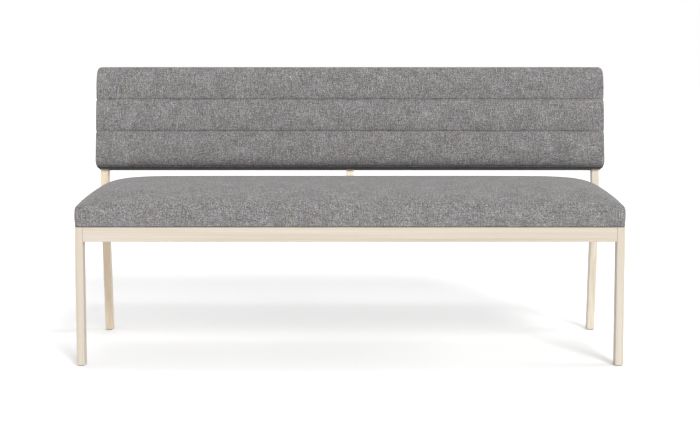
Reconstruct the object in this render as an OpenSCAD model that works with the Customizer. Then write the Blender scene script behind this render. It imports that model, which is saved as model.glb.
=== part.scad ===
// Upholstered banquette bench: a slim pale ash frame with reclined rear posts,
// a crowned seat cushion and a padded back with two sewn channels across it.
// Lengths are in millimetres and angles in degrees. The floor is z = 0, the
// bench faces -Y, and the origin is the middle of the floor area it covers.

/* [Bench] */
// Width over the outer faces of the legs
bench_w = 1500; // [1200:10:1800]
// Height of the wooden frame's top edge above the floor
frame_top_z = 383; // [340:1:430]
// Depth from the front legs' front faces to the rear legs' knees
knee_y = 511; // [450:1:560]
// Height of the knees above the frame's top edge
knee_rise = 22; // [22:1:32]
// Lean of the rear legs below the knee, in degrees
splay = 9; // [4:0.5:10]
// Lean of the posts above the knee, in degrees
recline = 10; // [6:0.5:12]

/* [Legs and posts] */
// Width of every leg and post, across the bench
leg_w = 22; // [20:1:28]
// Depth of every leg and post, front to back
leg_d = 40; // [36:1:46]
// Rounding of the long edges of legs and posts
leg_round = 2.5; // [1:0.5:4]
// Radius of the hollow side of the rear legs' knee
knee_r = 80; // [50:5:90]
// Thickness of the plastic glides under the feet
glide_t = 2; // [1:0.5:4]
// Distance that a glide is set in from the faces of its foot
glide_inset = 3; // [2:0.5:5]
// Diameter of the pin that holds a glide in its foot
glide_pin_d = 5; // [4:0.5:6]
// Length of the glide's pin
glide_pin_l = 14; // [10:1:20]

/* [Seat frame] */
// Height of the seat rails
rail_h = 40; // [34:1:50]
// Thickness of the seat rails
rail_t = 22; // [20:1:26]
// Rounding of the rails' long edges
rail_round = 2; // [1:0.5:3]
// Thickness of every tenon
tenon_t = 8; // [6:0.5:10]
// Width taken off the rail above and below a tenon
tenon_shoulder = 5; // [3:0.5:8]
// Length of the side rails' tenons and of the centre post's
tenon_l = 14; // [10:1:16]
// Wood left outside the tenons that run across the bench
tenon_cover = 8; // [6:0.5:9]
// Glue space round a tenon in its mortise
glue_gap = 0.1; // [0.05:0.05:0.2]
// Thickness of the two bearers under the seat
bearer_t = 20; // [16:1:26]
// Height of the bearers
bearer_h = 34; // [28:1:36]
// Distance of each bearer from the middle of the bench
bearer_x = 250; // [180:10:320]
// Length of the bearers' stub tenons
bearer_tenon_l = 8; // [6:1:10]
// Length of a corner block along each rail
block_l = 58; // [50:1:70]
// Width of a corner block's square ends
block_end = 14; // [10:1:18]
// Height of the corner blocks
block_h = 28; // [22:1:34]

/* [Seat cushion] */
// Thickness of the upholstery fabric, with its backing
fabric_t = 1.6; // [1.2:0.2:2.4]
// Height of the cushion's side up to where its top edge starts to round
seat_side_h = 44; // [42:1:56]
// Rounding of the cushion's top edge
seat_edge_r = 12; // [9:1:18]
// Rise of the crown above the rounded edge
seat_crown = 60; // [30:1:70]
// Distance from the cushion's ends over which most of the crown rises
crown_run_x = 49; // [40:1:70]
// Distance from the cushion's front and back over which most of the crown rises
crown_run_y = 65; // [50:1:80]
// Rounding of the cushion's corners, seen from above
seat_corner_r = 28; // [20:1:40]
// Distance that the cushion's side is drawn in at its foot
seat_draw_in = 1.7; // [0.5:0.1:3]
// Width of the fabric turned in under the seat board
hem_w = 32; // [30:1:36]
// Thickness of the plywood seat board
seat_board_t = 12; // [9:1:14]
// Distance of the seat board and its foam from the cushion's faces
core_inset = 10; // [8:0.5:12]
// Rounding of the seat board's corners
core_corner_r = 16; // [12:1:24]
// Thickness of the lower layer of seat foam
foam_base_t = 28; // [20:1:28]
// Distance of the upper layer of seat foam from the cushion's faces
foam_crown_inset = 58; // [54:1:80]
// Rounding of the upper foam's corners
foam_crown_corner_r = 50; // [30:1:60]
// Thickness of the black dust cover
dust_t = 0.5; // [0.3:0.1:0.8]
// Gap between the dust cover's edge and the rails
dust_gap = 2; // [1:0.5:4]
// Distance of the staples from the dust cover's edge
staple_inset = 14; // [13:0.5:18]
// Width across a staple
staple_w = 10; // [8:1:12]
// Length of a staple's legs
staple_l = 8; // [6:1:9]
// Thickness of the staple wire, measured through the board
staple_wire_t = 0.6; // [0.5:0.1:0.8]
// Width of the flat staple wire
staple_wire_w = 1.2; // [1:0.1:1.4]
// Staples in the middle bay of each long side
staples_mid = 6; // [4:1:8]
// Staples in each outer bay of each long side
staples_outer = 5; // [3:1:7]
// Staples on each short side
staples_end = 4; // [3:1:6]

/* [Back] */
// Distance along the posts from the knee to the underside of the back
back_gap = 95.5; // [80:0.5:130]
// Height of the back, along the posts
back_h = 306; // [270:1:360]
// Height of the bottom channel
channel_low = 112; // [90:1:120]
// Height of the middle channel
channel_mid = 95; // [80:1:110]
// Padding over the outer faces and tops of the posts
back_overhang = 15; // [15:0.5:20]
// Padding under the lower edge of the back board
back_under = 11.5; // [10:0.5:16]
// Padding in front of the posts, with the back board
back_front = 33.5; // [31:0.5:42]
// Rounding of the back's front and rear edges
back_edge_r = 14; // [10:0.5:14]
// Rounding of the back's corners, seen from the front
back_corner_r = 16; // [16:0.5:22]
// Depth of the sewn grooves in the front
groove_depth = 5; // [3:0.5:5]
// Half the width of a sewn groove
groove_half = 6; // [4:0.5:9]
// Depth of the sewn grooves round the sides of the back
groove_side = 1.2; // [0.5:0.1:2]
// Rise of a channel's middle above its edges
channel_crown = 1.5; // [0.5:0.5:3]
// Distance that the front falls back at its ends
back_end_fall = 2; // [1:0.5:4]
// Width of the falling part at each end
back_end_run = 45; // [30:1:80]
// Thickness of the plywood back board
back_board_t = 9; // [6:0.5:10]
// Thickness of the wadding at its thinnest, in the sewn grooves near the back's ends
back_wadding_t = 1; // [0.6:0.1:2]
// Thickness of the rear board
rear_board_t = 3; // [2:0.5:4]
// Width of the cover turned in behind the back
back_hem_w = 40; // [34:1:60]
// Thickness of the fabric-covered outside back
outside_back_t = 3; // [2:0.5:4]
// Distance of the outside back from the edges of the back
outside_back_inset = 18; // [16:0.5:24]
// Rounding of the outside back's corners
outside_back_r = 8; // [4:1:14]
// Height of the rails inside the back
inner_rail_h = 22; // [18:1:30]

/* [Screws] */
// Diameter of the screws' shanks
screw_d = 4; // [3.5:0.5:4.5]
// Diameter of the screws' countersunk heads
screw_head_d = 8; // [7:0.5:9]
// Space round a screw in its hole
screw_gap = 0.1; // [0.05:0.05:0.2]
// Length of the screws that hold the seat
seat_screw_l = 32; // [30:1:34]
// Depth that those screws reach into the seat board
seat_screw_bite = 8; // [6:0.5:8]
// Length of the screws through the rear rail into the centre post
post_screw_l = 45; // [40:1:50]
// Length of the screws through the back board
board_screw_l = 25; // [20:1:26]
// Length of the screws through the rear board
rear_screw_l = 14; // [12:1:16]
// Distance of the boards' end screws from the end posts' outer faces
board_screw_in = 11; // [9:0.5:12]

/* [Hidden] */

// Facets of a full circle where the shape is a true circle
$fn = 48;
// Space between a soft piece and what it covers
soft_gap = 0.3;
// Length by which a cut runs past the face that it opens
overrun = 5;
// Length of a screw's pointed end
screw_tip_l = 5;

ash = "#E9DCCA";
ply = "#D8BE93";
wool = "#8A8786";
foam_colour = "#E8DFB8";
wadding_colour = "#F4F4F1";
black = "#1E1E1F";
steel = "#B9BABD";

half_w = bench_w / 2;
knee_z = frame_top_z + knee_rise;
rail_z = frame_top_z - rail_h;
tenon_h = rail_h - 2 * tenon_shoulder;
inner_x = half_w - leg_w;
rail_inner_x = half_w - rail_t;
leg_tenon_l = leg_w - tenon_cover;
rail_tenon_l = rail_t - tenon_cover;
front_block_x = half_w - max(leg_w, rail_t);
// The rear rail's back face meets the centre post's front face at the frame's top edge
frame_d = knee_y - knee_rise * tan(recline);
rear_rail_y = frame_d - rail_t;

seat_d = frame_d;
seat_half_d = seat_d / 2;
seat_edge_z = frame_top_z + seat_side_h;
seat_board_z = frame_top_z + fabric_t;
foam_base_z = seat_board_z + seat_board_t;
foam_crown_z = foam_base_z + foam_base_t;
// The upper foam fills this share of the crown's rise
foam_crown_share = 0.55;
foam_crown_t = seat_crown * foam_crown_share;

back_half_w = half_w + back_overhang;
back_top = back_gap + back_h;
post_top = back_top - back_overhang;
board_low = back_gap + back_under;
board_h = post_top - board_low;
// The rear board starts above the cover's rounded lower edge
rear_board_low = back_gap + back_edge_r + soft_gap;
// The foam fills what the cover, the wadding and the board leave in front of the posts
back_foam_t = back_front - fabric_t - 2 * soft_gap - back_wadding_t - groove_depth - back_end_fall
    - back_board_t;
inner_rail_top = post_top - inner_rail_h;
seam_low = back_gap + channel_low;
seam_high = seam_low + channel_mid;
back_rear = leg_d + rear_board_t + fabric_t;

// Depth of the bench, from the front legs to the top of the outside back or to the rear feet
outside_back_y = knee_y + (back_top - outside_back_inset) * sin(recline)
    + (back_rear + outside_back_t) * cos(recline);
foot_back_y = knee_y + knee_z * tan(splay) + leg_d / cos(splay);
overall_d = max(outside_back_y, foot_back_y);

// Moves a piece from the frame that starts at the front legs' front faces to the bench's own
module placed() {
    translate([0, -overall_d / 2, 0]) children();
}

// Frame of the reclined back: x across, y backwards and z up along the posts from the knee
module on_back() {
    translate([0, knee_y, knee_z]) rotate([-recline, 0, 0]) children();
}

// Draws a right-hand piece on the left
module left_hand() {
    mirror([1, 0, 0]) children();
}

// Rectangle with round corners, its lower left corner at the origin
module round_rect(w, h, r) {
    translate([r, 0]) square([w - 2 * r, h]);
    translate([0, r]) square([w, h - 2 * r]);
    for (x = [r, w - r], y = [r, h - r]) translate([x, y]) circle(r);
}

// Bar along x with round long edges, its lowest front left corner at the origin
module bar_x(l, d, h, r) {
    rotate([90, 0, 90]) linear_extrude(l) round_rect(d, h, r);
}

// Bar along y with round long edges
module bar_y(w, l, h, r) {
    translate([0, l, 0]) rotate([90, 0, 0]) linear_extrude(l) round_rect(w, h, r);
}

// Bar along z with round long edges
module bar_z(w, d, l, r) {
    linear_extrude(l) round_rect(w, d, r);
}

// Countersunk screw driven along +z, its head's face at z = 0
module screw(l, gap = 0) {
    head_h = (screw_head_d - screw_d) / 2;
    cylinder(h = head_h, d1 = screw_head_d + 2 * gap, d2 = screw_d + 2 * gap);
    cylinder(h = l - screw_tip_l + gap, d = screw_d + 2 * gap);
    translate([0, 0, l - screw_tip_l])
        cylinder(h = screw_tip_l + gap, d1 = screw_d + 2 * gap, d2 = screw_d / 4);
}

// Screw's hole, open past the face that it starts from
module screw_hole(l, lead = 0) {
    screw(l, screw_gap);
    translate([0, 0, -lead - overrun]) cylinder(h = lead + overrun, d = screw_head_d + 2 * screw_gap);
}

// The bent legs and the soft forms are solids drawn through rings of points. An outline is a
// rectangle with round corners about the origin: its corner centres lie at (cx, cy), its sides
// carry extra points at the given places, and it runs anticlockwise from the right-hand side.
corner_steps = 4;

function corner_arc(cx, cy, r, a) =
    [for (i = [0:corner_steps])
        let (at = a + 90 * i / corner_steps) [cx + r * cos(at), cy + r * sin(at)]];

function outline(cx, cy, r, xs, ys) = concat(
    corner_arc(cx, cy, r, 0), [for (x = xs) [x, cy + r]],
    corner_arc(-cx, cy, r, 90), [for (y = ys) [-cx - r, y]],
    corner_arc(-cx, -cy, r, 180), [for (i = [len(xs) - 1:-1:0]) [xs[i], -cy - r]],
    corner_arc(cx, -cy, r, 270), [for (i = [len(ys) - 1:-1:0]) [cx + r, ys[i]]]);

// Two triangles for each step of each ring to the next ring
function ring_faces(rings) = [
    for (k = [0:len(rings) - 2], i = [0:len(rings[0]) - 1], half = [0, 1])
        let (n = len(rings[0]), j = (i + 1) % n, here = k * n, next = here + n)
            half == 0 ? [here + i, next + i, next + j] : [here + i, next + j, here + j]];

// Solid through the rings, closed by a flat face at the first; the face starts in the middle
// of a corner's arc, so that it splits into true triangles
module ringed_solid(rings, end_faces) {
    n = len(rings[0]);
    polyhedron(
        points = [for (ring = rings, p = ring) p],
        faces = concat([[for (i = [0:n - 1]) (i + corner_steps / 2) % n]], ring_faces(rings), end_faces));
}

// The legs

// Distance of the rear legs' straight front face from the front, at a height below the knee
function rear_leg_y(z) = knee_y + (knee_z - z) * tan(splay);

// The knee is an arc about a centre behind it. A point of the leg's side shape, as [y, z], lies
// d behind the front face, where the leg's depth leans up by an angle.
knee_steps = 6;
knee_bend = splay + recline;
knee_outer_r = knee_r + leg_d;
knee_tangent_l = knee_outer_r * tan(knee_bend / 2);
knee_centre_y = knee_y + knee_tangent_l * sin(splay) + knee_outer_r * cos(splay);
knee_centre_z = knee_z - knee_tangent_l * cos(splay) + knee_outer_r * sin(splay);

function knee_point(angle, d) =
    [knee_centre_y - (knee_outer_r - d) * cos(angle), knee_centre_z - (knee_outer_r - d) * sin(angle)];

function foot_point(d) =
    let (p = knee_point(splay, d)) [p[0] + (p[1] - glide_t) * tan(splay), glide_t];

function post_point(d) =
    [knee_y + post_top * sin(recline) + d * cos(recline),
        knee_z + post_top * cos(recline) - d * sin(recline)];

// Rear leg and post in one, its width centred on x = 0
module kneed_leg() {
    section = outline(leg_w / 2 - leg_round, leg_d / 2 - leg_round, leg_round, [], []);
    n = len(section);
    rings = concat(
        [[for (p = section) let (q = foot_point(p[1] + leg_d / 2)) [p[0], q[0], q[1]]]],
        [for (k = [0:knee_steps])
            [for (p = section)
                let (q = knee_point(splay - k * knee_bend / knee_steps, p[1] + leg_d / 2))
                    [p[0], q[0], q[1]]]],
        [[for (p = section) let (q = post_point(p[1] + leg_d / 2)) [p[0], q[0], q[1]]]]);
    last = (len(rings) - 1) * n;
    ringed_solid(rings, [[for (i = [n - 1:-1:0]) last + (i + corner_steps / 2) % n]]);
}

// Tenons reach as far into their rail as into their mortise; grow is the glue space
module front_rail_tenon(grow = 0) {
    translate([inner_x - leg_tenon_l, (rail_t - tenon_t) / 2 - grow, rail_z + tenon_shoulder - grow])
        cube([2 * leg_tenon_l + grow, tenon_t + 2 * grow, tenon_h + 2 * grow]);
}

module side_rail_front_tenon(grow = 0) {
    translate([half_w - (rail_t + tenon_t) / 2 - grow, leg_d - tenon_l - grow,
            rail_z + tenon_shoulder - grow])
        cube([tenon_t + 2 * grow, 2 * tenon_l + grow, tenon_h + 2 * grow]);
}

module side_rail_rear_tenon(grow = 0) {
    middle_y = rear_leg_y(rail_z + rail_h / 2);
    translate([half_w - (rail_t + tenon_t) / 2 - grow, middle_y - tenon_l, rail_z + tenon_shoulder - grow])
        cube([tenon_t + 2 * grow, 2 * tenon_l + grow, tenon_h + 2 * grow]);
}

module rear_rail_tenon(grow = 0) {
    translate([rail_inner_x - rail_tenon_l, rear_rail_y + (rail_t - tenon_t) / 2 - grow,
            rail_z + tenon_shoulder - grow])
        cube([2 * rail_tenon_l + grow, tenon_t + 2 * grow, tenon_h + 2 * grow]);
}

// Tenon of a rail inside the back, into the post whose face is at x = 0, towards +x
module inner_rail_tenon(l, grow = 0) {
    side = (leg_d - inner_rail_h) / 2;
    translate([-l, side - grow, (inner_rail_h - tenon_t) / 2 - grow])
        cube([2 * l + grow, inner_rail_h + 2 * grow, tenon_t + 2 * grow]);
}

// The centre post's tenon into the top rail of the back
module post_tenon(grow = 0) {
    side = (leg_d - inner_rail_h) / 2;
    translate([-tenon_t / 2 - grow, side - grow, inner_rail_top - tenon_l])
        cube([tenon_t + 2 * grow, inner_rail_h + 2 * grow, 2 * tenon_l + grow]);
}

// Tenons in the centre post are short, because two meet there
centre_tenon_l = leg_w / 3;

// Places the children at every screw of the front or rear boards of the back
module at_board_screws() {
    end_x = half_w - board_screw_in;
    rail_x = half_w / 2;
    post_shares = [0.22, 0.5, 0.78];
    for (x = [-end_x, 0, end_x], s = post_shares) translate([x, 0, board_low + s * board_h]) children();
    for (x = [-rail_x, rail_x], z = [board_low + inner_rail_h / 2, post_top - inner_rail_h / 2])
        translate([x, 0, z]) children();
}

module back_board_screw_holes() {
    at_board_screws() translate([0, -back_board_t, 0]) rotate([-90, 0, 0]) screw_hole(board_screw_l);
}

module rear_board_screw_holes() {
    at_board_screws() translate([0, leg_d + rear_board_t, 0]) rotate([90, 0, 0]) screw_hole(rear_screw_l);
}

// The glide's pin stands upright in the middle of the foot
module glide_pin(grow = 0) {
    cylinder(h = glide_t + glide_pin_l + grow, d = glide_pin_d + 2 * grow);
}

rear_foot_y = rear_leg_y(glide_t) + leg_d / cos(splay) / 2;

module front_leg() {
    difference() {
        translate([inner_x, 0, glide_t]) bar_z(leg_w, leg_d, frame_top_z - glide_t, leg_round);
        front_rail_tenon(glue_gap);
        side_rail_front_tenon(glue_gap);
        translate([half_w - leg_w / 2, leg_d / 2, 0]) glide_pin(glue_gap);
    }
}

module rear_leg() {
    difference() {
        translate([half_w - leg_w / 2, 0, 0]) kneed_leg();
        side_rail_rear_tenon(glue_gap);
        translate([half_w - leg_w / 2, rear_foot_y, 0]) glide_pin(glue_gap);
        on_back() {
            for (z = [board_low, inner_rail_top])
                translate([inner_x, 0, z]) inner_rail_tenon(leg_tenon_l, glue_gap);
            back_board_screw_holes();
            rear_board_screw_holes();
        }
    }
}

module front_leg_left() {
    color(ash) placed() left_hand() front_leg();
}

module front_leg_right() {
    color(ash) placed() front_leg();
}

module rear_leg_left() {
    color(ash) placed() left_hand() rear_leg();
}

module rear_leg_right() {
    color(ash) placed() rear_leg();
}

// The centre post laps the rear rail's back face and ends flush with its underside
module post_screw_places() {
    screw_shares = [0.28, 0.72];
    for (s = screw_shares) translate([0, rear_rail_y, rail_z + s * rail_h]) rotate([-90, 0, 0]) children();
}

module centre_post() {
    foot_l = (knee_rise + rail_h) / cos(recline) + leg_d;
    color(ash) placed() difference() {
        on_back() {
            translate([-leg_w / 2, 0, -foot_l]) bar_z(leg_w, leg_d, foot_l + inner_rail_top, leg_round);
            post_tenon();
        }
        translate([-half_w, frame_d - bench_w, rail_z - rail_h]) cube(bench_w);
        translate([-half_w, 0, rail_z - bench_w]) cube(bench_w);
        post_screw_places() screw_hole(post_screw_l);
        on_back() {
            for (side = [0, 1]) mirror([side, 0, 0])
                translate([leg_w / 2, 0, board_low]) mirror([1, 0, 0])
                    inner_rail_tenon(centre_tenon_l, glue_gap);
            back_board_screw_holes();
            rear_board_screw_holes();
        }
    }
}

// Feet

module glide() {
    translate([-leg_w / 2 + glide_inset, -leg_d / 2 + glide_inset, 0])
        bar_z(leg_w - 2 * glide_inset, leg_d - 2 * glide_inset, glide_t, leg_round);
    glide_pin();
}

module front_glide() {
    color(black) placed() translate([half_w - leg_w / 2, leg_d / 2, 0]) glide();
}

module rear_glide() {
    color(black) placed() translate([half_w - leg_w / 2, rear_foot_y, 0]) glide();
}

module glide_front_left() {
    left_hand() front_glide();
}

module glide_front_right() {
    front_glide();
}

module glide_rear_left() {
    left_hand() rear_glide();
}

module glide_rear_right() {
    rear_glide();
}

// Seat frame

module bearer_tenon(y, grow = 0) {
    shoulder = bearer_t / 4;
    translate([bearer_x - bearer_t / 2 + shoulder - grow, y - bearer_tenon_l - grow,
            frame_top_z - dust_t - bearer_h + shoulder - grow])
        cube([bearer_t - 2 * shoulder + 2 * grow, 2 * (bearer_tenon_l + grow),
                bearer_h - 2 * shoulder + 2 * grow]);
}

module both_sides() {
    children();
    left_hand() children();
}

module front_rail() {
    color(ash) placed() difference() {
        union() {
            translate([-inner_x, 0, rail_z]) bar_x(2 * inner_x, rail_t, rail_h, rail_round);
            both_sides() front_rail_tenon();
        }
        both_sides() bearer_tenon(rail_t, glue_gap);
    }
}

module rear_rail() {
    color(ash) placed() difference() {
        union() {
            translate([-rail_inner_x, rear_rail_y, rail_z])
                bar_x(2 * rail_inner_x, rail_t, rail_h, rail_round);
            both_sides() rear_rail_tenon();
        }
        both_sides() bearer_tenon(rear_rail_y, glue_gap);
        post_screw_places() screw_hole(post_screw_l);
    }
}

module side_rail() {
    color(ash) placed() difference() {
        union() {
            difference() {
                translate([rail_inner_x, leg_d, rail_z]) bar_y(rail_t, knee_y, rail_h, rail_round);
                translate([0, knee_y, knee_z]) rotate([splay, 0, 0]) translate([0, 0, -knee_z])
                    cube([bench_w, bench_w, 2 * knee_z]);
            }
            side_rail_front_tenon();
            side_rail_rear_tenon();
        }
        rear_rail_tenon(glue_gap);
    }
}

module side_rail_left() {
    left_hand() side_rail();
}

module side_rail_right() {
    side_rail();
}

// Seat screws stand upright and start from a deep counterbore
seat_screw_z = seat_board_z + seat_screw_bite - seat_screw_l;

module seat_screw_at(x, y, hole = false) {
    translate([x, y, seat_screw_z]) {
        if (hole) screw_hole(seat_screw_l, frame_top_z);
        else screw(seat_screw_l);
    }
}

// Distance of a seat screw from the two faces that a corner block is glued to
block_screw_share = 0.33;
block_screw_in = block_l * block_screw_share;
bearer_screw_shares = [0.25, 0.75];

module seat_screws(hole = false) {
    both_sides() {
        seat_screw_at(front_block_x - block_screw_in, rail_t + block_screw_in, hole);
        seat_screw_at(rail_inner_x - block_screw_in, rear_rail_y - block_screw_in, hole);
        for (s = bearer_screw_shares) seat_screw_at(bearer_x, rail_t + s * (rear_rail_y - rail_t), hole);
    }
}

module cross_bearer() {
    color(ash) placed() difference() {
        union() {
            translate([bearer_x - bearer_t / 2, rail_t, frame_top_z - dust_t - bearer_h])
                cube([bearer_t, rear_rail_y - rail_t, bearer_h]);
            bearer_tenon(rail_t);
            bearer_tenon(rear_rail_y);
        }
        seat_screws(true);
    }
}

module cross_bearer_left() {
    left_hand() cross_bearer();
}

module cross_bearer_right() {
    cross_bearer();
}

// Block glued into a corner; the corner is at the origin and the rails run along -x and +y
module corner_block() {
    linear_extrude(block_h)
        polygon([[0, 0], [0, block_l], [-block_end, block_l], [-block_l, block_end], [-block_l, 0]]);
}

module front_corner_block() {
    color(ash) placed() difference() {
        translate([front_block_x, rail_t, frame_top_z - dust_t - block_h]) corner_block();
        seat_screws(true);
    }
}

module rear_corner_block() {
    color(ash) placed() difference() {
        translate([rail_inner_x, rear_rail_y, frame_top_z - dust_t - block_h]) mirror([0, 1, 0])
            corner_block();
        seat_screws(true);
    }
}

module corner_block_front_left() {
    left_hand() front_corner_block();
}

module corner_block_front_right() {
    front_corner_block();
}

module corner_block_rear_left() {
    left_hand() rear_corner_block();
}

module corner_block_rear_right() {
    rear_corner_block();
}

module seat_fixing_screws() {
    color(steel) placed() seat_screws();
}

module centre_post_screws() {
    color(steel) placed() post_screw_places() screw(post_screw_l);
}

// Seat cushion

// Places of the extra points on the cushion's long and short sides, as shares of the half sides
seat_long_shares = [0.93, 0.82, 0.62, 0, -0.62, -0.82, -0.93];
seat_short_shares = [0.6, 0, -0.6];
// Steps of the crown, as shares of half the cushion's depth
crown_shares = [0.085, 0.14, 0.22, 0.34, 0.5, 0.72];
edge_angles = [0, 30, 60, 90];

function rise(d, run) = 1 - exp(-max(d, 0) / run);

// Crown's height at a point of the seat, in a skin that lies t under the cushion's surface
function crown_height(x, y, t) =
    seat_crown * rise(half_w - t - abs(x), crown_run_x) * rise(seat_half_d - t - abs(y), crown_run_y);

function seat_ring(inset, r, t) =
    let (cx = half_w - t - inset - r, cy = seat_half_d - t - inset - r)
        outline(cx, cy, r, seat_long_shares * cx, seat_short_shares * cy);

// Flat ring of the cushion's side
function seat_side_ring(inset, z, t) =
    [for (p = seat_ring(inset, seat_corner_r - t - inset, t)) [p[0], p[1], z]];

// Ring of the cushion's top, which follows the crown
function seat_top_ring(inset, r, z, t) =
    [for (p = seat_ring(inset, r, t)) [p[0], p[1], z + crown_height(p[0], p[1], t)]];

// Ridge of the crown: a ring pressed flat onto the cushion's middle line
function seat_ridge_ring(z, t) =
    let (end_x = half_w - seat_half_d)
        [for (p = seat_ring(0, seat_corner_r, t))
            let (x = max(-end_x, min(end_x, p[0] * end_x / (half_w - t - seat_corner_r))))
                [x, 0, z + crown_height(x, 0, t)]];

// The cushion's closed skin, t inside its surface, centred on x = 0 and y = 0
module seat_skin(t) {
    low = frame_top_z + t;
    middle = (low + seat_edge_z) / 2;
    edge_r = seat_edge_r - t;
    top = seat_edge_z + edge_r;
    plan_r = seat_corner_r - t;
    rings = concat(
        [seat_side_ring(seat_draw_in, low, t), seat_side_ring(seat_draw_in / 4, middle, t)],
        [for (a = edge_angles)
            let (inset = edge_r * (1 - cos(a)))
                seat_top_ring(inset, plan_r - inset, seat_edge_z + edge_r * sin(a), t)],
        [for (s = crown_shares) seat_top_ring(s * seat_half_d, (plan_r - edge_r) * (1 - s), top, t)],
        [seat_ridge_ring(top, t)]);
    translate([0, seat_half_d, 0]) ringed_solid(rings, []);
}

// Block with round corners in the cushion, from inset to inset
module seat_layer(inset, r, z, h) {
    translate([inset - half_w, inset, z]) bar_z(bench_w - 2 * inset, seat_d - 2 * inset, h, r);
}

module seat_cover() {
    color(wool) placed() difference() {
        seat_skin(0);
        seat_skin(fabric_t);
        translate([hem_w - half_w, hem_w, frame_top_z - overrun])
            cube([bench_w - 2 * hem_w, seat_d - 2 * hem_w, 2 * overrun]);
    }
}

module seat_wadding() {
    color(wadding_colour) placed() difference() {
        seat_skin(fabric_t + soft_gap);
        seat_layer(core_inset - soft_gap, core_corner_r, rail_z, foam_crown_z + soft_gap - rail_z);
        seat_layer(foam_crown_inset - soft_gap, foam_crown_corner_r, foam_base_z,
            foam_base_t + foam_crown_t + soft_gap);
    }
}

module seat_foam_base() {
    color(foam_colour) placed() seat_layer(core_inset, core_corner_r, foam_base_z, foam_base_t);
}

module seat_foam_crown() {
    color(foam_colour) placed()
        seat_layer(foam_crown_inset, foam_crown_corner_r, foam_crown_z, foam_crown_t);
}

// Places of the staples: rows between the bearers and the corner blocks, then the two ends
dust_x = front_block_x - dust_gap;
dust_y = rail_t + dust_gap;
dust_d = rear_rail_y - rail_t - 2 * dust_gap;

module staple_row(from, to, count) {
    pitch = (to - from) / count;
    for (i = [0:count - 1]) translate([from + (i + 0.5) * pitch, 0, 0]) children();
}

module at_staples() {
    for (y = [dust_y + staple_inset, dust_y + dust_d - staple_inset]) translate([0, y, 0]) {
        staple_row(-bearer_x, bearer_x, staples_mid) children();
        both_sides() staple_row(bearer_x, front_block_x - block_l, staples_outer) children();
    }
    both_sides() translate([dust_x - staple_inset, 0, 0]) rotate([0, 0, 90])
        staple_row(rail_t + block_l, rear_rail_y - block_l, staples_end) children();
}

module staple() {
    leg_x = staple_w / 2 - staple_wire_t;
    translate([-staple_w / 2, -staple_wire_w / 2, -staple_wire_t])
        cube([staple_w, staple_wire_w, staple_wire_t]);
    for (x = [-staple_w / 2, leg_x])
        translate([x, -staple_wire_w / 2, -staple_wire_t]) cube([staple_wire_t, staple_wire_w, staple_l]);
}

module dust_cover_staples() {
    color(steel) placed() translate([0, 0, frame_top_z - dust_t]) at_staples() staple();
}

module staple_holes() {
    translate([0, 0, frame_top_z - dust_t]) at_staples() staple();
}

module seat_dust_cover() {
    color(black) placed() difference() {
        translate([-dust_x, dust_y, frame_top_z - dust_t]) cube([2 * dust_x, dust_d, dust_t]);
        staple_holes();
        seat_screws(true);
    }
}

module seat_board() {
    color(ply) placed() difference() {
        seat_layer(core_inset, core_corner_r, seat_board_z, seat_board_t);
        staple_holes();
        seat_screws(true);
    }
}

// Back

// Rows of points down the back's sides: the sewn grooves with their two edges, and the
// middle of each channel. Heights are measured from the middle of the back.
back_mid = back_gap + back_h / 2;
back_rows = [
    (seam_high + back_top) / 2 - back_mid,
    seam_high + groove_half - back_mid,
    seam_high - back_mid,
    seam_high - groove_half - back_mid,
    (seam_low + seam_high) / 2 - back_mid,
    seam_low + groove_half - back_mid,
    seam_low - back_mid,
    seam_low - groove_half - back_mid,
    (seam_low + back_gap) / 2 - back_mid,
];

// Depth of the sewn grooves at a height, as a share: 1 on a seam and 0 beside it
function groove_share(u) =
    let (d = min(abs(u + back_mid - seam_low), abs(u + back_mid - seam_high)))
        max(0, 1 - d / groove_half);

// Crown of the channels at a height, as a share: 1 in a channel's middle and 0 at its edges
function channel_share(u) =
    let (
        at = u + back_mid,
        low = at < seam_low ? back_gap : (at < seam_high ? seam_low : seam_high),
        high = at < seam_low ? seam_low : (at < seam_high ? seam_high : back_top),
        s = (at - low) / (high - low))
        4 * s * (1 - s);

// Distance that the front is moved back at a height, without its fall at the ends
function front_relief(u) = groove_depth * groove_share(u) - channel_crown * channel_share(u);

// Ring of the back, t under its surface: inset from its outline, at the depth y. The shares say how
// much of the front's relief and of the side grooves it has; the first ring has none.
function back_ring(inset, y, t, front_share, side_share) =
    let (
        cx = back_half_w - back_corner_r,
        cy = back_h / 2 - back_corner_r,
        end_x = back_half_w - back_corner_r - back_end_run)
        [for (p = outline(cx, cy, back_corner_r - t - inset, [end_x, -end_x], back_rows))
            let (
                is_side = abs(p[1]) < cy && abs(p[0]) > cx ? 1 : 0,
                side = side_share * groove_side * groove_share(p[1]) * is_side,
                fall = back_end_fall + front_relief(p[1]) * is_side)
                [p[0] - sign(p[0]) * side, y + front_share * fall, p[1]]];

// Columns of the front where the fall at the ends is over: each ring point goes to its own side's
function back_column_ring(y) =
    let (
        cx = back_half_w - back_corner_r,
        cy = back_h / 2 - back_corner_r,
        end_x = cx - back_end_run)
        [for (p = outline(cx, cy, back_corner_r, [end_x, -end_x], back_rows))
            let (u = max(-cy, min(cy, p[1]))) [sign(p[0]) * end_x, y + front_relief(u), u]];

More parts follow.
